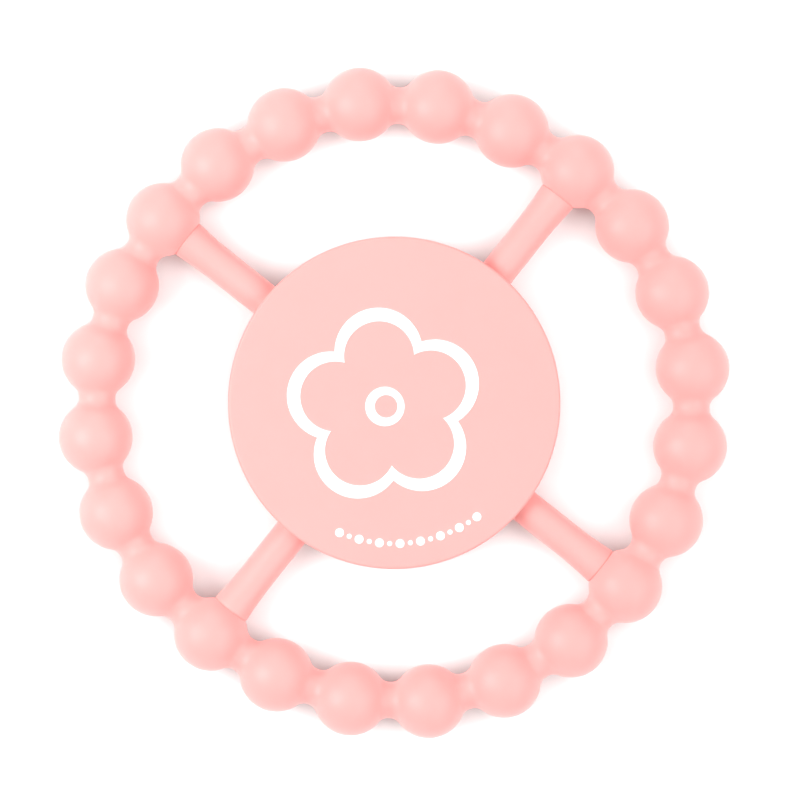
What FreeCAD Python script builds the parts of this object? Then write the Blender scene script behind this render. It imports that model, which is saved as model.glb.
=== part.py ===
import FreeCAD, Part
import math
import os

import Sketcher

# A teething ring: one silicone moulding with a few white printed marks. Round beads joined by waisted
# necks make the outer ring, four round spokes run inwards, and they hold a flat disc in the middle.
#
# The frame: +Z up through the thickness, the origin under the disc's centre on the plane that the
# ring lies on, the printed face upwards, bead_01 on +X and the others anticlockwise after it.
# The moulding is divided where its shape changes, and its regions meet face to face.

STEP_FOLDER = "parts"
BEAD_COUNT = 24
SPOKE_EVERY = 6
FIRST_SPOKE_BEAD = 3
SPOKE_NAMES = ("spoke_upper_right", "spoke_upper_left", "spoke_lower_left", "spoke_lower_right")
STEP_DEG = 360 / BEAD_COUNT
DOTS_EACH_SIDE = 7

# Driving sizes in millimetres, and the numbers of marks.
SIZES = {
    "bead_radius": 5.75,  # the beads set the thickness of the whole ring
    "ring_radius": 46.82,  # middle of the object to the middle of a bead, on average
    "spoke_pull": 0.42,  # how much nearer a spoke's bead is, and how much further those midway are
    "neck_radius": 2.83,
    "neck_fillet": 1.9,  # hollow round between neck and bead
    "spoke_radius": 2.67,
    "spoke_end_radius": 3.04,  # where the spoke meets its bead
    "spoke_lip": 0.35,  # round on the spoke's end, which leaves a fine line against the bead
    "flare_length": 7.0,
    "disc_radius": 26.0,
    "disc_thickness": 9.1,
    "disc_edge": 0.5,  # round on the disc's rims
    "ink_thickness": 0.1,
    "flower_x": -1.5,  # where the printed flower's middle is
    "flower_y": -0.4,
    "petal_count": 5,
    "petal_offset": 8.6,  # flower's middle to the middle of a petal's outer curve
    "petal_radius": 6.9,
    "petal_inner_offset": 7.9,
    "petal_inner_radius": 5.45,
    "flower_eye_radius": 3.1,
    "flower_eye_hole_radius": 1.75,
    "flower_eye_hole_shift": 0.2,
    "dot_arc_radius": 22.0,
    "dot_step": 4.2,  # degrees between neighbouring dots
    "dot_large_radius": 0.72,
    "dot_small_radius": 0.42,
}

ORIGIN = (-1, 1)  # a sketch's own origin, as a constraint names it
H_AXIS = -1
V_AXIS = -2
START, END, CENTRE = 1, 2, 3

doc = FreeCAD.newDocument("teething_ring")
sheet = doc.addObject("Spreadsheet::Sheet", "Sizes")
for row, (alias, size) in enumerate(SIZES.items(), start=1):
    sheet.set(f"A{row}", alias)
    sheet.set(f"B{row}", str(size))
    sheet.setAlias(f"B{row}", alias)
doc.recompute()


# ---- expressions on the sheet

BEAD = "Sizes.bead_radius"
FILLET = "Sizes.neck_fillet"
NECK_FILLET_OFFSET = f"(Sizes.neck_radius + {FILLET})"
# Along a neck's axis, from a bead's centre: the fillet's centre, and the plane where the fillet
# touches the ball, which is where bead and neck meet. The spoke meets its bead in a plane too.
FILLET_REACH = f"sqrt(({BEAD} + {FILLET})^2 - {NECK_FILLET_OFFSET}^2)"
NECK_PLANE = f"({FILLET_REACH} * {BEAD} / ({BEAD} + {FILLET}))"
NECK_END_RADIUS = f"({NECK_FILLET_OFFSET} * {BEAD} / ({BEAD} + {FILLET}))"
SPOKE_PLANE = f"sqrt({BEAD}^2 - Sizes.spoke_end_radius^2)"
DISC_TOP = f"({BEAD} + Sizes.disc_thickness / 2)"


def bead_angle(index):
    return index * STEP_DEG


def bead_distance(index):
    """How far a bead's centre is from the middle: the spokes draw their beads inwards a little."""
    swing = 4 * bead_angle(index) - 180
    return f"(Sizes.ring_radius - Sizes.spoke_pull * cos({swing} deg))"


def bead_centre(index):
    """X and Y of a bead's centre."""
    angle = bead_angle(index)
    return f"{bead_distance(index)} * cos({angle} deg)", f"{bead_distance(index)} * sin({angle} deg)"


def amount(expression):
    """What an expression comes to, in millimetres or degrees."""
    result = sheet.evalExpression(expression)
    return result.Value if hasattr(result, "Value") else float(result)


# ---- bodies and sketches


def new_body(label):
    body = doc.addObject("PartDesign::Body", label)
    body.Label = label
    return body


def origin_plane(body, role):
    return next(plane for plane in body.Origin.OriginFeatures if plane.Role == role)


def new_sketch(body, name, role):
    sketch = body.newObject("Sketcher::SketchObject", name)
    sketch.AttachmentSupport = [(origin_plane(body, role), "")]
    sketch.MapMode = "FlatFace"
    return sketch


def place(body, x="0", y="0", z=BEAD, turn="0 deg"):
    """Binds a body's Placement: where its origin is, and how far it is turned about Z."""
    body.setExpression("Placement.Base.x", x)
    body.setExpression("Placement.Base.y", y)
    body.setExpression("Placement.Base.z", z)
    body.setExpression("Placement.Rotation.Angle", turn)


def drive(sketch, kind, *references, by):
    """A dimension whose size is an expression on the sheet. Angles are stored in radians."""
    size = amount(by)
    if kind == "Angle":
        size = math.radians(size)
    index = sketch.addConstraint(Sketcher.Constraint(kind, *references, size))
    sketch.setExpression(f"Constraints[{index}]", by)


def point(x, y):
    return FreeCAD.Vector(x, y, 0)


def polar(distance, angle):
    return point(distance * math.cos(math.radians(angle)), distance * math.sin(math.radians(angle)))


def add_line(sketch, start, end):
    return sketch.addGeometry(Part.LineSegment(start, end), False)


def add_circle(sketch, centre, radius):
    circle = Part.Circle(centre, FreeCAD.Vector(0, 0, 1), radius)
    return sketch.addGeometry(circle, False)


def add_arc(sketch, centre, radius, first, last):
    """An arc that runs anticlockwise from one angle to the other, in degrees."""
    circle = Part.Circle(centre, FreeCAD.Vector(0, 0, 1), radius)
    arc = Part.ArcOfCircle(circle, math.radians(first), math.radians(last))
    return sketch.addGeometry(arc, False)


def constrain(sketch, kind, *references):
    sketch.addConstraint(Sketcher.Constraint(kind, *references))


def join(sketch, *ends):
    """Makes pairs of ends meet: each entry is (curve, its end, next curve, its end)."""
    for first, first_end, second, second_end in ends:
        constrain(sketch, "Coincident", first, first_end, second, second_end)


def pad_both_ways(body, name, sketch, length):
    pad = body.newObject("PartDesign::Pad", name)
    pad.Profile = sketch
    pad.SideType = "Symmetric"
    pad.setExpression("Length", length)
    return pad


def print_up(body, name, sketch):
    """Ink on a surface: the sketch's outline raised by the ink's thickness."""
    pad = body.newObject("PartDesign::Pad", name)
    pad.Profile = sketch
    pad.setExpression("Length", "Sizes.ink_thickness")
    return pad


def cut_through(body, name, sketch):
    pocket = body.newObject("PartDesign::Pocket", name)
    pocket.Profile = sketch
    pocket.Type = "ThroughAll"
    pocket.SideType = "Symmetric"
    return pocket


def turn_round(body, name, sketch, axis):
    turn = body.newObject("PartDesign::Revolution", name)
    turn.Profile = sketch
    turn.ReferenceAxis = (sketch, [axis])
    turn.Angle = 360
    return turn


# ---- beads


def add_ball(body):
    """A half disc turned about the body's Z axis."""
    radius = amount(BEAD)
    sketch = new_sketch(body, f"{body.Name}_half_disc", "XZ_Plane")
    arc = add_arc(sketch, point(0, 0), radius, -90, 90)
    diameter = add_line(sketch, point(0, radius), point(0, -radius))
    join(sketch, (arc, END, diameter, START), (diameter, END, arc, START), (arc, CENTRE, *ORIGIN))
    constrain(sketch, "PointOnObject", diameter, START, V_AXIS)
    constrain(sketch, "PointOnObject", diameter, END, V_AXIS)
    drive(sketch, "Radius", arc, by=BEAD)
    turn_round(body, f"{body.Name}_ball", sketch, "V_Axis")


def trim_ball(body, name, direction, plane, half_width):
    """Cuts the ball off flat, square to a direction in the ring's plane, `plane` from its centre."""
    angle = amount(direction)
    reach = amount(plane)
    half = amount(half_width)
    depth = amount(BEAD)
    inner_low = polar(reach, angle) - polar(half, angle + 90)
    inner_high = polar(reach, angle) + polar(half, angle + 90)
    outwards = polar(depth, angle)
    sketch = new_sketch(body, f"{body.Name}_{name}_outline", "XY_Plane")
    inner = add_line(sketch, inner_low, inner_high)
    upper = add_line(sketch, inner_high, inner_high + outwards)
    outer = add_line(sketch, inner_high + outwards, inner_low + outwards)
    lower = add_line(sketch, inner_low + outwards, inner_low)
    join(
        sketch,
        (inner, END, upper, START),
        (upper, END, outer, START),
        (outer, END, lower, START),
        (lower, END, inner, START),
    )
    axis = sketch.addGeometry(Part.LineSegment(point(0, 0), polar(reach, angle)), True)
    constrain(sketch, "Coincident", axis, START, *ORIGIN)
    constrain(sketch, "Symmetric", inner, START, inner, END, axis, END)
    constrain(sketch, "Perpendicular", inner, axis)
    constrain(sketch, "Perpendicular", inner, upper)
    constrain(sketch, "Parallel", inner, outer)
    constrain(sketch, "Parallel", upper, lower)
    drive(sketch, "Distance", axis, by=plane)
    drive(sketch, "Angle", axis, by=direction)
    drive(sketch, "Distance", inner, by=f"2 * {half_width}")
    drive(sketch, "Distance", upper, by=BEAD)
    cut_through(body, f"{body.Name}_{name}", sketch)


def direction_to(index, other):
    """The way from one bead to its neighbour, measured from the first bead's own outward direction."""
    turn = STEP_DEG * (other - index)
    along = f"{bead_distance(other)} * cos({turn} deg) - {bead_distance(index)}"
    across = f"{bead_distance(other)} * sin({turn} deg)"
    return f"atan2({across}; {along})"


def carries_spoke(index):
    return index % SPOKE_EVERY == FIRST_SPOKE_BEAD


def make_bead(index):
    """A ball cut flat where its necks, and its spoke if it has one, begin. Its X axis points outwards."""
    body = new_body(f"bead_{index + 1:02d}")
    add_ball(body)
    neck_cut = f"(1.1 * {NECK_END_RADIUS})"
    trim_ball(body, "next_neck", direction_to(index, index + 1), NECK_PLANE, neck_cut)
    trim_ball(body, "last_neck", direction_to(index, index - 1), NECK_PLANE, neck_cut)
    if carries_spoke(index):
        trim_ball(body, "spoke", "180 deg", SPOKE_PLANE, "(1.1 * Sizes.spoke_end_radius)")
    place(body, *bead_centre(index), turn=f"{bead_angle(index)} deg")
    return body


# ---- necks


def make_neck(index):
    """The waist from one bead to the next: a short cylinder between two hollow fillets, about its Y."""
    following = (index + 1) % BEAD_COUNT
    x, y = bead_centre(index)
    next_x, next_y = bead_centre(following)
    span = f"hypot({next_x} - ({x}); {next_y} - ({y}))"
    half_length = f"({span} / 2 - {NECK_PLANE})"
    half_land = f"({span} / 2 - {FILLET_REACH})"

    waist = amount("Sizes.neck_radius")
    end_radius = amount(NECK_END_RADIUS)
    length = amount(half_length)
    land = amount(half_land)
    fillet = amount(FILLET)
    sweep = math.degrees(math.asin((length - land) / fillet))

    body = new_body(f"neck_{index + 1:02d}")
    sketch = new_sketch(body, f"{body.Name}_profile", "XY_Plane")
    axis = add_line(sketch, point(0, length), point(0, -length))
    low_end = add_line(sketch, point(0, -length), point(end_radius, -length))
    low_fillet = add_arc(sketch, point(waist + fillet, -land), fillet, 180, 180 + sweep)
    middle = add_line(sketch, point(waist, -land), point(waist, land))
    high_fillet = add_arc(sketch, point(waist + fillet, land), fillet, 180 - sweep, 180)
    high_end = add_line(sketch, point(end_radius, length), point(0, length))
    join(
        sketch,
        (axis, END, low_end, START),
        (low_end, END, low_fillet, END),
        (high_fillet, START, high_end, START),
        (high_end, END, axis, START),
    )
    constrain(sketch, "Tangent", low_fillet, START, middle, START)
    constrain(sketch, "Tangent", middle, END, high_fillet, END)
    constrain(sketch, "Symmetric", axis, START, axis, END, *ORIGIN)
    constrain(sketch, "Vertical", axis)
    constrain(sketch, "Horizontal", low_end)
    constrain(sketch, "Horizontal", high_end)
    constrain(sketch, "Symmetric", middle, START, middle, END, H_AXIS)
    drive(sketch, "Distance", axis, by=f"2 * {half_length}")
    drive(sketch, "Distance", middle, by=f"2 * {half_land}")
    drive(sketch, "DistanceX", *ORIGIN, middle, START, by="Sizes.neck_radius")
    drive(sketch, "Radius", low_fillet, by=FILLET)
    drive(sketch, "Radius", high_fillet, by=FILLET)
    turn_round(body, f"{body.Name}_waist", sketch, "V_Axis")

    heading = f"atan2({next_y} - ({y}); {next_x} - ({x}))"
    middle_x = f"({x} + {next_x}) / 2"
    middle_y = f"({y} + {next_y}) / 2"
    place(body, middle_x, middle_y, turn=f"{heading} - 90 deg")
    return body


# ---- spokes


def make_spoke(name, index):
    """A round rod from the disc's wall to the flat on its bead, where it flares and ends in a small round."""
    tip_distance = f"({bead_distance(index)} - {SPOKE_PLANE})"
    radius = amount("Sizes.spoke_radius")
    end_radius = amount("Sizes.spoke_end_radius")
    flare = amount("Sizes.flare_length")
    start = amount("Sizes.disc_radius / 2")
    tip = amount(tip_distance)
    rise = end_radius - radius
    bend = (flare * flare + rise * rise) / (2 * rise)
    sweep = math.degrees(math.asin(flare / bend))

    body = new_body(name)
    sketch = new_sketch(body, f"{name}_profile", "XY_Plane")
    axis = add_line(sketch, point(start, 0), point(tip, 0))
    tip_face = add_line(sketch, point(tip, 0), point(tip, end_radius))
    flare_arc = add_arc(sketch, point(tip - flare, radius + bend), bend, 270, 270 + sweep)
    side = add_line(sketch, point(tip - flare, radius), point(start, radius))
    root_face = add_line(sketch, point(start, radius), point(start, 0))
    join(
        sketch,
        (axis, END, tip_face, START),
        (tip_face, END, flare_arc, END),
        (side, END, root_face, START),
        (root_face, END, axis, START),
    )
    constrain(sketch, "Tangent", flare_arc, START, side, START)
    constrain(sketch, "PointOnObject", axis, START, H_AXIS)
    constrain(sketch, "PointOnObject", axis, END, H_AXIS)
    constrain(sketch, "Vertical", tip_face)
    constrain(sketch, "Vertical", root_face)
    constrain(sketch, "Horizontal", side)
    drive(sketch, "DistanceX", *ORIGIN, axis, START, by="Sizes.disc_radius / 2")
    drive(sketch, "DistanceX", *ORIGIN, axis, END, by=tip_distance)
    drive(sketch, "Distance", tip_face, by="Sizes.spoke_end_radius")
    drive(sketch, "Distance", root_face, by="Sizes.spoke_radius")
    drive(sketch, "DistanceX", side, START, axis, END, by="Sizes.flare_length")
    turn_round(body, f"{name}_rod", sketch, "H_Axis")

    wall = new_sketch(body, f"{name}_disc_wall", "XY_Plane")
    circle = add_circle(wall, point(0, 0), amount("Sizes.disc_radius"))
    constrain(wall, "Coincident", circle, CENTRE, *ORIGIN)
    drive(wall, "Radius", circle, by="Sizes.disc_radius")
    root = cut_through(body, f"{name}_root", wall)
    doc.recompute()

    numbered = enumerate(root.Shape.Edges, start=1)
    circles = {f"Edge{number}": edge for number, edge in numbered if edge.isClosed()}
    tip_edge = max(circles, key=lambda label: circles[label].BoundBox.XMin)
    lip = body.newObject("PartDesign::Fillet", f"{name}_lip")
    lip.Base = (root, [tip_edge])
    lip.setExpression("Radius", "Sizes.spoke_lip")
    place(body, turn=f"{bead_angle(index)} deg")
    return body


# ---- disc


def make_disc():
    """The flat disc in the middle, round at both rims, halfway up the ring's thickness."""
    body = new_body("centre_disc")
    sketch = new_sketch(body, "disc_outline", "XY_Plane")
    circle = add_circle(sketch, point(0, 0), amount("Sizes.disc_radius"))
    constrain(sketch, "Coincident", circle, CENTRE, *ORIGIN)
    drive(sketch, "Radius", circle, by="Sizes.disc_radius")
    pad = pad_both_ways(body, "disc_slab", sketch, "Sizes.disc_thickness")
    doc.recompute()

    rims = [f"Edge{number}" for number, edge in enumerate(pad.Shape.Edges, start=1) if edge.isClosed()]
    fillet = body.newObject("PartDesign::Fillet", "disc_rims")
    fillet.Base = (pad, rims)
    fillet.setExpression("Radius", "Sizes.disc_edge")
    place(body)
    return body


# ---- print


def ray_reach(offset, radius, angle):
    """How far along a ray a circle is left again, its centre `offset` away at `angle` to the ray."""
    across = offset * math.sin(math.radians(angle))
    return offset * math.cos(math.radians(angle)) + math.sqrt(radius * radius - across * across)


def make_flower_outline():
    """Five petals drawn as one line that swells at their tips. One petal is drawn and repeated."""
    upright = 90
    half_angle = 180 / amount("Sizes.petal_count")
    body = new_body("print_flower_outline")
    sketch = new_sketch(body, "petal_line", "XY_Plane")

    def petal_curve(offset_size, radius_size):
        """One edge of the line, an arc that ends on the two rays that bound the petal."""
        offset = amount(offset_size)
        radius = amount(radius_size)
        centre = polar(offset, upright)
        reach = ray_reach(offset, radius, half_angle)
        right = polar(reach, upright - half_angle)
        left = polar(reach, upright + half_angle)
        first = math.degrees(math.atan2(right.y - centre.y, right.x - centre.x))
        arc = add_arc(sketch, centre, radius, first, 180 - first)
        constrain(sketch, "PointOnObject", arc, CENTRE, V_AXIS)
        drive(sketch, "DistanceY", *ORIGIN, arc, CENTRE, by=offset_size)
        drive(sketch, "Radius", arc, by=radius_size)
        return arc, right, left

    outer, outer_right, outer_left = petal_curve("Sizes.petal_offset", "Sizes.petal_radius")
    inner, inner_right, inner_left = petal_curve("Sizes.petal_inner_offset", "Sizes.petal_inner_radius")
    sides = (
        (START, inner_right, outer_right, "90 deg - 180 deg / Sizes.petal_count"),
        (END, inner_left, outer_left, "90 deg + 180 deg / Sizes.petal_count"),
    )
    for end, inner_tip, outer_tip, ray_angle in sides:
        side = add_line(sketch, inner_tip, outer_tip)
        join(sketch, (inner, end, side, START), (outer, end, side, END))
        ray = sketch.addGeometry(Part.LineSegment(point(0, 0), inner_tip), True)
        join(sketch, (ray, START, *ORIGIN), (ray, END, side, START))
        constrain(sketch, "Parallel", ray, side)
        drive(sketch, "Angle", ray, by=ray_angle)

    petal = print_up(body, "petal", sketch)
    petals = body.newObject("PartDesign::PolarPattern", "petals")
    petals.Originals = [petal]
    petals.Axis = (sketch, ["N_Axis"])
    petals.Angle = 360
    petals.setExpression("Occurrences", "Sizes.petal_count")
    body.Tip = petals
    place(body, "Sizes.flower_x", "Sizes.flower_y", DISC_TOP)
    return body


def make_flower_eye():
    """A small ring in the flower's middle, whose hole sits a little off centre, as a brush leaves it."""
    body = new_body("print_flower_eye")
    sketch = new_sketch(body, "eye_outline", "XY_Plane")
    shift = amount("Sizes.flower_eye_hole_shift")
    rim = add_circle(sketch, point(0, 0), amount("Sizes.flower_eye_radius"))
    hole = add_circle(sketch, point(shift, 0), amount("Sizes.flower_eye_hole_radius"))
    constrain(sketch, "Coincident", rim, CENTRE, *ORIGIN)
    constrain(sketch, "PointOnObject", hole, CENTRE, H_AXIS)
    drive(sketch, "DistanceX", *ORIGIN, hole, CENTRE, by="Sizes.flower_eye_hole_shift")
    drive(sketch, "Radius", rim, by="Sizes.flower_eye_radius")
    drive(sketch, "Radius", hole, by="Sizes.flower_eye_hole_radius")
    print_up(body, "eye", sketch)
    place(body, "Sizes.flower_x", "Sizes.flower_y", DISC_TOP)
    return body


def make_dot_arc():
    """Large and small dots by turns, on an arc just inside the lower rim of the disc."""
    body = new_body("print_dot_arc")
    sketch = new_sketch(body, "dots", "XY_Plane")
    arc_radius = amount("Sizes.dot_arc_radius")
    for place_in_row in range(-DOTS_EACH_SIDE, DOTS_EACH_SIDE + 1):
        size = "Sizes.dot_large_radius" if place_in_row % 2 else "Sizes.dot_small_radius"
        angle = f"-90 deg + {place_in_row} * Sizes.dot_step * 1 deg"
        centre = polar(arc_radius, amount(angle))
        dot = add_circle(sketch, centre, amount(size))
        spoke = sketch.addGeometry(Part.LineSegment(point(0, 0), centre), True)
        join(sketch, (spoke, START, *ORIGIN), (spoke, END, dot, CENTRE))
        drive(sketch, "Distance", spoke, by="Sizes.dot_arc_radius")
        drive(sketch, "Angle", spoke, by=angle)
        drive(sketch, "Radius", dot, by=size)
    print_up(body, "raised_dots", sketch)
    place(body, z=DISC_TOP)
    return body


# ---- the whole ring

parts = [make_bead(index) for index in range(BEAD_COUNT)]
parts += [make_neck(index) for index in range(BEAD_COUNT)]
for number, name in enumerate(SPOKE_NAMES):
    parts.append(make_spoke(name, FIRST_SPOKE_BEAD + SPOKE_EVERY * number))
parts += [make_disc(), make_flower_outline(), make_flower_eye(), make_dot_arc()]
doc.recompute()

for item in doc.Objects:
    if "Invalid" in item.State or "Error" in item.State:
        raise RuntimeError(f"{item.Name} failed: {item.State}")
    if item.TypeId == "Sketcher::SketchObject" and not item.FullyConstrained:
        raise RuntimeError(f"{item.Name} is not fully constrained")
    if item.TypeId == "PartDesign::Pocket" and item.Shape.Volume >= item.BaseFeature.Shape.Volume:
        raise RuntimeError(f"{item.Name} cut nothing")
for part in parts:
    if part.Shape.isNull() or not part.Shape.isValid():
        raise RuntimeError(f"{part.Label} has no valid shape")

os.makedirs(STEP_FOLDER, exist_ok=True)
for part in parts:
    part.Shape.exportStep(f"{STEP_FOLDER}/{part.Label}.step")
print(f"{len(parts)} parts, {sum(part.Shape.Volume for part in parts) / 1000:.2f} cubic centimetres")
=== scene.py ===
import math

import bmesh
import bpy
from mathutils import Matrix, Vector


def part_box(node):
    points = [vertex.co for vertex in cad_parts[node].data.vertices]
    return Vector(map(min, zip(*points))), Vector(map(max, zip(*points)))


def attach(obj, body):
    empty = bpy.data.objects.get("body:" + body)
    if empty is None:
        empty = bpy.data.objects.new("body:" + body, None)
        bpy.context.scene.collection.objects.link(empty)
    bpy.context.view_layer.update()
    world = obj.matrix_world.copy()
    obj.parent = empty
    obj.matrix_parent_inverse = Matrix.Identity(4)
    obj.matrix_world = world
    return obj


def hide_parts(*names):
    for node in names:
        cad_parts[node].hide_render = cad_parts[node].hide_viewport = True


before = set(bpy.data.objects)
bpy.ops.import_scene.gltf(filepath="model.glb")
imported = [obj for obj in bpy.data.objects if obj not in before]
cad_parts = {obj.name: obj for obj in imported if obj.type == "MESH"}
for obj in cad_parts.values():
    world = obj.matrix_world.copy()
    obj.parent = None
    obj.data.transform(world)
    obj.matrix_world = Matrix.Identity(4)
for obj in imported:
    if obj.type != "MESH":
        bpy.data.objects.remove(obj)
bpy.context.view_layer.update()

# A teething ring of matte pink silicone, seen from straight above on a white table. Everything is in
# metres and in the CAD part's frame: +Z up, the table at 0, the disc's centre over the origin.

MM = 0.001
BEAD_COUNT = 24
STEP = 2 * math.pi / BEAD_COUNT
SPOKE_BEADS = {
    "spoke_upper_right": 4,
    "spoke_upper_left": 10,
    "spoke_lower_left": 16,
    "spoke_lower_right": 22,
}


def node_size(node):
    low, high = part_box(node)
    return high - low


def node_middle(node):
    low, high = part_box(node)
    return (low + high) / 2


# ---- sizes read from the frame

MID_HEIGHT = node_middle("bead_04").z
BEAD_RADIUS = node_size("bead_04").z / 2
DISC_RADIUS = node_size("centre_disc").x / 2
DISC_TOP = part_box("centre_disc")[1].z
DISC_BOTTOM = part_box("centre_disc")[0].z
FAR_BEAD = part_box("bead_01")[1].x - BEAD_RADIUS
SPOKE_BEAD = node_middle("bead_04").xy.length

# ---- sizes that the boxes don't show, as the CAD part has them

NECK_RADIUS = 2.83 * MM
NECK_FILLET = 1.9 * MM
SPOKE_RADIUS = 2.67 * MM
SPOKE_END_RADIUS = 3.04 * MM
FLARE_LENGTH = 7.0 * MM
SPOKE_LIP = 0.35 * MM
DISC_EDGE = 0.5 * MM

# ---- sizes of detail that only this model has

PARTING_HEIGHT = 0.05 * MM
PARTING_WIDTH = 0.11 * MM
PARTING_ANGLES_DEG = (0, 0.8, 1.6, 2.6, 4.0, 6.0)  # round a section, close enough to follow the ridge
SPOKE_BURIED = 0.6 * MM  # how far a rod runs on into the disc; it runs twice as far into its bead


# ---- mesh helpers


def new_piece(name, vertices, faces, material, slot, *replaced):
    """A smooth-shaded mesh on the part's one body, standing for the CAD nodes it replaces."""
    mesh = bpy.data.meshes.new(name)
    mesh.from_pydata(vertices, [], faces)
    mesh.update()
    piece = bpy.data.objects.new(name, mesh)
    bpy.context.scene.collection.objects.link(piece)
    tidy = bmesh.new()
    tidy.from_mesh(mesh)
    bmesh.ops.recalc_face_normals(tidy, faces=tidy.faces)
    tidy.to_mesh(mesh)
    tidy.free()
    mesh.polygons.foreach_set("use_smooth", [True] * len(mesh.polygons))
    mesh.materials.append(material)
    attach(piece, "root")
    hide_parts(*replaced)
    return piece


def grid_faces(rows, columns, close_rows=False, close_columns=False):
    """Quads between the points of a grid stored row by row, wrapping round where asked."""
    faces = []
    for row in range(rows if close_rows else rows - 1):
        following = (row + 1) % rows
        for column in range(columns if close_columns else columns - 1):
            after = (column + 1) % columns
            faces.append(
                (
                    row * columns + column,
                    row * columns + after,
                    following * columns + after,
                    following * columns + column,
                )
            )
    return faces


def section_angles(quarter_steps):
    """Angles all round a section, from its outer side, with more of them close to the parting line."""
    near = [math.radians(angle) for angle in PARTING_ANGLES_DEG]
    rest = math.pi / 2 - near[-1]
    quarter = near + [near[-1] + rest * k / quarter_steps for k in range(1, quarter_steps + 1)]
    half = quarter + [math.pi - a for a in reversed(quarter[:-1])]
    return half + [2 * math.pi - a for a in reversed(half[1:-1])]


def parting_ridge(height_from_middle):
    """The fine line of flash where the mould's two halves met, halfway up every side."""
    return PARTING_HEIGHT * math.exp(-((height_from_middle / PARTING_WIDTH) ** 2))


# ---- ring


def bead_distance(index):
    """From the object's axis to a bead's centre: the spokes draw their own beads inwards a little."""
    mean = (FAR_BEAD + SPOKE_BEAD) / 2
    swing = (FAR_BEAD - SPOKE_BEAD) / 2
    return mean - swing * math.cos(4 * index * STEP - math.pi)


def bead_centre(index):
    distance = bead_distance(index % BEAD_COUNT)
    return Vector((distance * math.cos(index * STEP), distance * math.sin(index * STEP), MID_HEIGHT))


def ring_sections():
    """(centre, direction of travel, radius) of each section, all the way round the string of beads."""
    ball_steps = 20
    fillet_steps = 9
    land_steps = 2
    fillet_offset = NECK_RADIUS + NECK_FILLET
    touch = math.acos(fillet_offset / (BEAD_RADIUS + NECK_FILLET))
    reach = (BEAD_RADIUS + NECK_FILLET) * math.sin(touch)
    sections = []
    for index in range(BEAD_COUNT):
        centre = bead_centre(index)
        following = bead_centre(index + 1)
        before = (centre - bead_centre(index - 1)).normalized()
        after = (following - centre).normalized()
        turn = before.angle(after)
        for k in range(ball_steps):
            share = k / ball_steps
            latitude = touch * (2 * share - 1)
            travel = Matrix.Rotation(turn * share, 3, "Z") @ before
            offset = BEAD_RADIUS * math.sin(latitude)
            sections.append((centre + travel * offset, travel, BEAD_RADIUS * math.cos(latitude)))
        span = (following - centre).length
        profile = []
        for k in range(fillet_steps):
            angle = touch * (1 - k / fillet_steps)
            radius = fillet_offset - NECK_FILLET * math.cos(angle)
            profile.append((reach - NECK_FILLET * math.sin(angle), radius))
        for k in range(land_steps):
            profile.append((reach + (span - 2 * reach) * k / land_steps, NECK_RADIUS))
        for k in range(fillet_steps):
            angle = touch * k / fillet_steps
            radius = fillet_offset - NECK_FILLET * math.cos(angle)
            profile.append((span - reach + NECK_FILLET * math.sin(angle), radius))
        sections += [(centre + after * along, after, radius) for along, radius in profile]
    return sections


def make_ring(material):
    """The whole string of beads and necks as one closed tube."""
    angles = section_angles(quarter_steps=14)
    sections = ring_sections()
    vertices = []
    for centre, travel, radius in sections:
        outwards = Vector((travel.y, -travel.x, 0))
        for angle in angles:
            height = radius * math.sin(angle)
            reach = radius + parting_ridge(height)
            vertices.append(centre + outwards * (reach * math.cos(angle)) + Vector((0, 0, height)))
    faces = grid_faces(len(sections), len(angles), close_rows=True, close_columns=True)
    nodes = [f"{kind}_{k + 1:02d}" for kind in ("bead", "neck") for k in range(BEAD_COUNT)]
    return new_piece("beaded_ring", vertices, faces, material, "pink_silicone", *nodes)


# ---- spokes


def make_spoke(name, bead, material):
    """A round rod that flares and ends in a small round at its bead. Both ends run a little way inside."""
    start = DISC_RADIUS - SPOKE_BURIED
    plane = SPOKE_BEAD - math.sqrt(BEAD_RADIUS**2 - SPOKE_END_RADIUS**2)
    rise = SPOKE_END_RADIUS - SPOKE_RADIUS
    bend = (FLARE_LENGTH**2 + rise**2) / (2 * rise)
    flare_start = plane - FLARE_LENGTH
    end = plane + 2 * SPOKE_BURIED
    straight_steps = 16
    flare_steps = 24
    lip_steps = 8
    lip_start = plane - SPOKE_LIP
    stations = [start + (flare_start - start) * k / straight_steps for k in range(straight_steps)]
    stations += [flare_start + (lip_start - flare_start) * k / flare_steps for k in range(flare_steps)]
    lip_turns = [math.pi / 2 * k / lip_steps for k in range(lip_steps + 1)]
    stations += [lip_start + SPOKE_LIP * math.sin(turn) for turn in lip_turns]
    stations.append(end)
    outwards = Vector((math.cos((bead - 1) * STEP), math.sin((bead - 1) * STEP), 0))
    across = Vector((-outwards.y, outwards.x, 0))
    angles = section_angles(quarter_steps=12)
    vertices = []
    for station in stations:
        past = max(0.0, station - flare_start)
        into_lip = min(SPOKE_LIP, max(0.0, station - lip_start))
        flare = bend - math.sqrt(bend**2 - min(past, FLARE_LENGTH) ** 2)
        radius = SPOKE_RADIUS + flare - SPOKE_LIP + math.sqrt(SPOKE_LIP**2 - into_lip**2)
        for angle in angles:
            height = radius * math.sin(angle)
            reach = radius + parting_ridge(height)
            side = across * (reach * math.cos(angle))
            vertices.append(outwards * station + side + Vector((0, 0, MID_HEIGHT + height)))
    faces = grid_faces(len(stations), len(angles), close_columns=True)
    first_ring = list(range(len(angles)))
    last_ring = [len(vertices) - len(angles) + k for k in range(len(angles))]
    faces += [first_ring[::-1], last_ring]
    return new_piece(name + "_rod", vertices, faces, material, "pink_silicone", name)


# ---- disc


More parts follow.
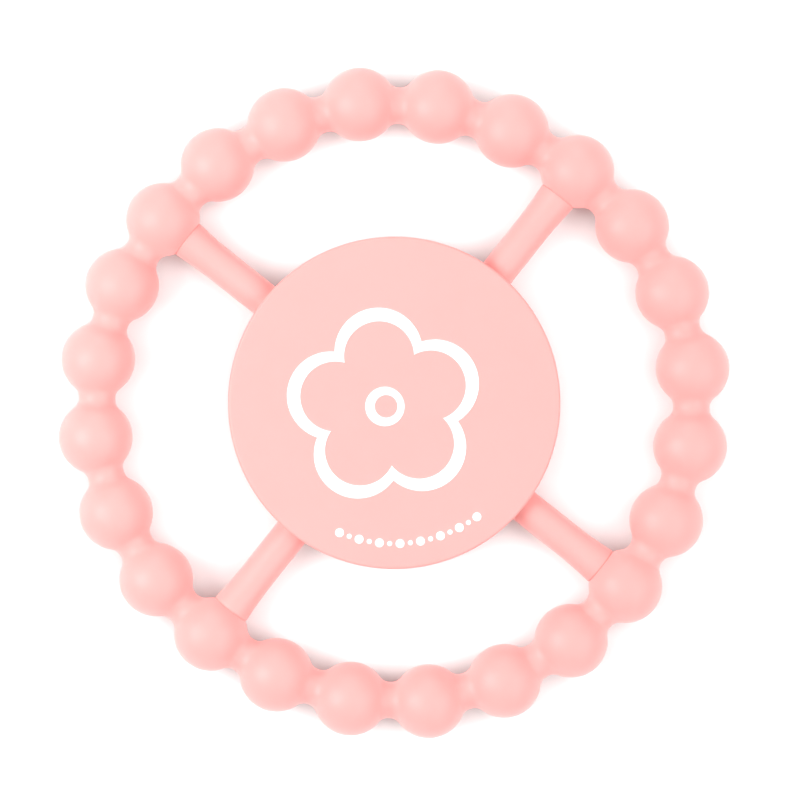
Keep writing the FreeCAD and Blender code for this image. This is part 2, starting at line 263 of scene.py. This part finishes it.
def disc_profile():
    """(radius, height) from the middle of the top, over the rounded rims, to the middle of the back."""
    rim_steps = 10
    flat_shares = (0.08, 0.2, 0.35, 0.5, 0.65, 0.8, 0.9, 0.96, 0.99)
    wall_heights = [height * MM for height in (1.6, 0.6, 0.32, 0.2, 0.12, 0.05)]
    inner = DISC_RADIUS - DISC_EDGE
    half_height = (DISC_TOP - DISC_BOTTOM) / 2
    upper = [(inner * share, half_height) for share in flat_shares]
    for k in range(rim_steps + 1):
        angle = math.pi / 2 * (1 - k / rim_steps)
        drop = DISC_EDGE * (1 - math.sin(angle))
        upper.append((inner + DISC_EDGE * math.cos(angle), half_height - drop))
    upper += [(DISC_RADIUS + parting_ridge(height), height) for height in wall_heights]
    middle = [(DISC_RADIUS + parting_ridge(0), 0)]
    return upper + middle + [(radius, -height) for radius, height in reversed(upper)]


def make_disc(material):
    """The disc's profile turned all the way round, with a fan of faces over each middle."""
    around = 240
    profile = disc_profile()
    centre_height = (DISC_TOP + DISC_BOTTOM) / 2
    vertices = []
    for radius, height in profile:
        for k in range(around):
            angle = 2 * math.pi * k / around
            vertices.append((radius * math.cos(angle), radius * math.sin(angle), centre_height + height))
    faces = grid_faces(len(profile), around, close_columns=True)
    for ring, height in ((0, DISC_TOP), (len(profile) - 1, DISC_BOTTOM)):
        vertices.append((0, 0, height))
        hub = len(vertices) - 1
        first = ring * around
        faces += [(hub, first + k, first + (k + 1) % around) for k in range(around)]
    return new_piece("disc", vertices, faces, material, "pink_silicone", "centre_disc")


# ---- print

INK_HEIGHT = node_size("print_flower_eye").z
FLOWER_MIDDLE = node_middle("print_flower_eye").xy
PETAL_COUNT = 5
PETAL_OFFSET = 8.6 * MM
PETAL_RADIUS = 6.9 * MM
PETAL_INNER_OFFSET = 7.9 * MM
PETAL_INNER_RADIUS = 5.45 * MM
EYE_RADIUS = node_size("print_flower_eye").x / 2
EYE_HOLE_RADIUS = 1.75 * MM
EYE_HOLE_SHIFT = 0.2 * MM
DOT_ARC_RADIUS = 22.0 * MM
DOT_STEP = math.radians(4.2)
DOTS_EACH_SIDE = 7
DOT_LARGE_RADIUS = 0.72 * MM
DOT_SMALL_RADIUS = 0.42 * MM
INK_EDGE = 0.06 * MM


def petal_edge(angle, offset, radius):
    """Distance from the flower's middle to one edge of its line, at an angle from its top."""
    wedge = 2 * math.pi / PETAL_COUNT
    off_axis = (angle + wedge / 2) % wedge - wedge / 2
    across = offset * math.sin(off_axis)
    return offset * math.cos(off_axis) + math.sqrt(radius**2 - across**2)


def ink_section(width):
    """(share across, height) over a printed line: a flat film whose edges are rounded off."""
    edge_steps = 4
    widest_edge = 0.45
    edge = min(widest_edge, INK_EDGE / width)
    quarter = [math.pi / 2 * k / edge_steps for k in range(edge_steps + 1)]
    rising = [(edge * (1 - math.cos(a)), INK_HEIGHT * math.sin(a)) for a in quarter]
    level = [(share, INK_HEIGHT) for share in (0.3, 0.5, 0.7)]
    return rising + level + [(1 - share, height) for share, height in reversed(rising)]


def make_flower_line(material):
    """Five petals in one closed line that swells at their tips."""
    around = 720
    vertices = []
    columns = 0
    for k in range(around):
        angle = 2 * math.pi * k / around
        inner = petal_edge(angle, PETAL_INNER_OFFSET, PETAL_INNER_RADIUS)
        outer = petal_edge(angle, PETAL_OFFSET, PETAL_RADIUS)
        heading = Vector((-math.sin(angle), math.cos(angle)))
        section = ink_section(outer - inner)
        columns = len(section)
        for share, height in section:
            spot = FLOWER_MIDDLE + heading * (inner + (outer - inner) * share)
            vertices.append((spot.x, spot.y, DISC_TOP + height))
    faces = grid_faces(around, columns, close_rows=True, close_columns=True)
    return new_piece("flower_line", vertices, faces, material, "white_ink", "print_flower_outline")


def make_flower_eye(material):
    """The small ring in the flower's middle, its hole a little off centre."""
    around = 160
    vertices = []
    columns = 0
    for k in range(around):
        angle = 2 * math.pi * k / around
        heading = Vector((math.cos(angle), math.sin(angle)))
        inner = heading * EYE_HOLE_RADIUS + Vector((EYE_HOLE_SHIFT, 0))
        outer = heading * EYE_RADIUS
        section = ink_section((outer - inner).length)
        columns = len(section)
        for share, height in section:
            spot = FLOWER_MIDDLE + inner.lerp(outer, share)
            vertices.append((spot.x, spot.y, DISC_TOP + height))
    faces = grid_faces(around, columns, close_rows=True, close_columns=True)
    return new_piece("flower_eye", vertices, faces, material, "white_ink", "print_flower_eye")


def make_dot_row(material):
    """Large and small dots by turns, each a low dome with a flat top."""
    around = 40
    vertices = []
    faces = []
    for place in range(-DOTS_EACH_SIDE, DOTS_EACH_SIDE + 1):
        radius = DOT_LARGE_RADIUS if place % 2 else DOT_SMALL_RADIUS
        angle = -math.pi / 2 + place * DOT_STEP
        middle = Vector((math.cos(angle), math.sin(angle))) * DOT_ARC_RADIUS
        rising = [(share, height) for share, height in ink_section(2 * radius) if share < 0.5]
        first = len(vertices)
        for share, height in rising:
            reach = radius * (1 - 2 * share)
            for k in range(around):
                turn = 2 * math.pi * k / around
                x = middle.x + reach * math.cos(turn)
                y = middle.y + reach * math.sin(turn)
                vertices.append((x, y, DISC_TOP + height))
        quads = grid_faces(len(rising), around, close_columns=True)
        faces += [tuple(first + corner for corner in quad) for quad in quads]
        top = len(vertices)
        vertices.append((middle.x, middle.y, DISC_TOP + INK_HEIGHT))
        last = top - around
        faces += [(top, last + k, last + (k + 1) % around) for k in range(around)]
        faces.append(tuple(first + k for k in range(around)))
    return new_piece("dot_row", vertices, faces, material, "white_ink", "print_dot_arc")


# ---- materials

# Scales of the procedural noise, in repeats to a metre.
CLOUD_SCALE = 60
PATCH_SCALE = 240
INK_CLOUD_SCALE = 300
RIPPLE_SCALE = 420
GRAIN_SCALE = 9000
GRAIN_HEIGHT = 0.02 * MM
RIPPLE_HEIGHT = 0.12 * MM

SILICONE_DARK = (0.98, 0.421, 0.398)
SILICONE_LIGHT = (0.98, 0.439, 0.415)
INK_DARK = (0.93, 0.925, 0.92)
INK_LIGHT = (0.97, 0.965, 0.965)


def new_material(name):
    material = bpy.data.materials.new(name)
    material.use_nodes = True
    nodes = material.node_tree.nodes
    return material, nodes, material.node_tree.links, nodes["Principled BSDF"]


def add_noise(nodes, links, position, scale, detail, roughness=0.5):
    noise = nodes.new("ShaderNodeTexNoise")
    noise.inputs["Scale"].default_value = scale
    noise.inputs["Detail"].default_value = detail
    noise.inputs["Roughness"].default_value = roughness
    links.new(position, noise.inputs["Vector"])
    return noise.outputs["Fac"]


def spread(nodes, links, fac, low, high):
    """Maps a noise's middle range to the range low to high."""
    remap = nodes.new("ShaderNodeMapRange")
    remap.inputs["From Min"].default_value = 0.3
    remap.inputs["From Max"].default_value = 0.7
    remap.inputs["To Min"].default_value = low
    remap.inputs["To Max"].default_value = high
    links.new(fac, remap.inputs["Value"])
    return remap.outputs["Result"]


def colour_between(nodes, links, fac, first, second):
    """The first colour where the noise is low, the second where it is high."""
    mix = nodes.new("ShaderNodeMix")
    mix.data_type = "RGBA"
    mix.inputs["A"].default_value = (*first, 1)
    mix.inputs["B"].default_value = (*second, 1)
    links.new(fac, mix.inputs["Factor"])
    return mix.outputs["Result"]


def add_bump(nodes, links, height, strength, distance, under=None):
    """A bump from a noise, on top of another bump if one is given."""
    bump = nodes.new("ShaderNodeBump")
    bump.inputs["Strength"].default_value = strength
    bump.inputs["Distance"].default_value = distance
    links.new(height, bump.inputs["Height"])
    if under:
        links.new(under, bump.inputs["Normal"])
    return bump.outputs["Normal"]


def silicone():
    """Matte, soft-touch silicone: light goes a little way in, the mould's fine texture dulls the gloss."""
    material, nodes, links, shader = new_material("pink_silicone")
    position = nodes.new("ShaderNodeTexCoord").outputs["Object"]
    cloud = add_noise(nodes, links, position, CLOUD_SCALE, detail=3)
    tint = colour_between(nodes, links, cloud, SILICONE_DARK, SILICONE_LIGHT)
    links.new(tint, shader.inputs["Base Color"])
    patch = add_noise(nodes, links, position, PATCH_SCALE, detail=4)
    links.new(spread(nodes, links, patch, low=0.4, high=0.48), shader.inputs["Roughness"])
    shader.inputs["IOR"].default_value = 1.41
    shader.inputs["Specular IOR Level"].default_value = 0.45
    shader.inputs["Subsurface Weight"].default_value = 0.12
    shader.inputs["Subsurface Radius"].default_value = (1.0, 0.4, 0.32)
    shader.inputs["Subsurface Scale"].default_value = 0.5 * MM
    shader.inputs["Sheen Weight"].default_value = 0.2
    shader.inputs["Sheen Roughness"].default_value = 0.45
    grain = add_noise(nodes, links, position, GRAIN_SCALE, detail=2, roughness=0.6)
    ripple = add_noise(nodes, links, position, RIPPLE_SCALE, detail=2)
    fine = add_bump(nodes, links, grain, strength=0.18, distance=GRAIN_HEIGHT)
    both = add_bump(nodes, links, ripple, strength=0.12, distance=RIPPLE_HEIGHT, under=fine)
    links.new(both, shader.inputs["Normal"])
    return material


def ink():
    """Opaque white ink in a thin film, with the silicone's grain showing through."""
    material, nodes, links, shader = new_material("white_ink")
    position = nodes.new("ShaderNodeTexCoord").outputs["Object"]
    cloud = add_noise(nodes, links, position, INK_CLOUD_SCALE, detail=3)
    tint = colour_between(nodes, links, cloud, INK_DARK, INK_LIGHT)
    links.new(tint, shader.inputs["Base Color"])
    links.new(spread(nodes, links, cloud, low=0.45, high=0.6), shader.inputs["Roughness"])
    grain = add_noise(nodes, links, position, GRAIN_SCALE, detail=2, roughness=0.6)
    bump = add_bump(nodes, links, grain, strength=0.15, distance=GRAIN_HEIGHT)
    links.new(bump, shader.inputs["Normal"])
    return material


def table_top():
    """Plain light grey, with hardly any gloss. It looks white in its own extra light."""
    material, _, _, shader = new_material("white_table")
    shader.inputs["Base Color"].default_value = (0.6, 0.6, 0.6, 1)
    shader.inputs["Roughness"].default_value = 0.7
    shader.inputs["Specular IOR Level"].default_value = 0.2
    return material


# ---- table, lights and camera

TABLE_HALF_WIDTH = 3.0


def make_table():
    half = TABLE_HALF_WIDTH
    corners = [(-half, -half, 0), (half, -half, 0), (half, half, 0), (-half, half, 0)]
    mesh = bpy.data.meshes.new("table")
    mesh.from_pydata(corners, [], [(0, 1, 2, 3)])
    table = bpy.data.objects.new("table", mesh)
    mesh.materials.append(table_top())
    bpy.context.scene.collection.objects.link(table)
    return table


# The picture's up direction, turned in the part's frame by the way the object lies.
ROLL = math.radians(6.6)


def picture_direction(right, up):
    """A level direction given in the picture's own right and up."""
    flat = Vector((right, up, 0))
    return Matrix.Rotation(-ROLL, 3, "Z") @ flat


def softbox(name, right, up, elevation, distance, width, height, power):
    """An area light that faces the object, set by which way it lies in the picture and how high."""
    level = picture_direction(right, up)
    lift = math.radians(elevation)
    direction = Vector((0, 0, math.sin(lift)))
    if level.length:
        direction += level.normalized() * math.cos(lift)
    light = bpy.data.lights.new(name, "AREA")
    light.shape = "RECTANGLE"
    light.size = width
    light.size_y = height
    light.energy = power
    lamp = bpy.data.objects.new(name, light)
    lamp.location = direction * distance
    lamp.rotation_euler = (-direction).to_track_quat("-Z", "Y").to_euler()
    lamp.visible_camera = False
    bpy.context.scene.collection.objects.link(lamp)
    return lamp


# Each is: right and up in the picture, elevation in degrees, distance, width, height, power in watts.
SOFTBOXES = {
    "left": (-1, 0, 45, 0.6, 0.38, 0.41, 3.55),
    "right": (1, 0, 43, 1.5, 0.95, 1.36, 10.4),
    "near_right": (1, -1, 38, 1.5, 0.95, 0.95, 7.6),
    "far": (0, 1, 27, 0.6, 0.38, 0.44, 1.16),
}
# These light the table alone, as a photographer brightens a backdrop to keep it white.
TABLE_SOFTBOXES = {
    "sweep_left": (-1, 0, 68, 1.2, 0.9, 0.9, 9.7),
    "sweep_right": (1, 0, 68, 1.2, 0.9, 0.9, 12.2),
}
WORLD_STRENGTH = 0.25


def light_scene(table):
    """A strong softbox close on the left, three weaker ones, a faint surround, more light on the table."""
    for name, placing in SOFTBOXES.items():
        softbox(name, *placing)
    table_only = bpy.data.collections.new("table_only")
    table_only.objects.link(table)
    for name, placing in TABLE_SOFTBOXES.items():
        softbox(name, *placing).light_linking.receiver_collection = table_only
    world = bpy.data.worlds.new("studio")
    world.use_nodes = True
    background = world.node_tree.nodes["Background"]
    background.inputs["Color"].default_value = (1, 1, 1, 1)
    background.inputs["Strength"].default_value = WORLD_STRENGTH
    bpy.context.scene.world = world
    bpy.context.scene.view_settings.view_transform = "Standard"


PICTURE_WIDTH = 125.8 * MM
PICTURE_MIDDLE = (0.91 * MM, 0.44 * MM)  # right and up from the disc's centre
LENS_LENGTH = 200
SENSOR_WIDTH = 36


def make_camera():
    """A long lens straight above. The object lies turned a little anticlockwise in the picture."""
    camera = bpy.data.cameras.new("camera")
    camera.lens = LENS_LENGTH
    camera.sensor_width = SENSOR_WIDTH
    distance = PICTURE_WIDTH * LENS_LENGTH / SENSOR_WIDTH
    holder = bpy.data.objects.new("camera", camera)
    offset = picture_direction(*PICTURE_MIDDLE)
    holder.location = offset + Vector((0, 0, MID_HEIGHT + distance))
    holder.rotation_euler = (0, 0, -ROLL)
    bpy.context.scene.collection.objects.link(holder)
    bpy.context.scene.camera = holder


make_camera()
silicone_material = silicone()
ink_material = ink()
make_ring(silicone_material)
for spoke, bead in SPOKE_BEADS.items():
    make_spoke(spoke, bead, silicone_material)
make_disc(silicone_material)
make_flower_line(ink_material)
make_flower_eye(ink_material)
make_dot_row(ink_material)
light_scene(make_table())
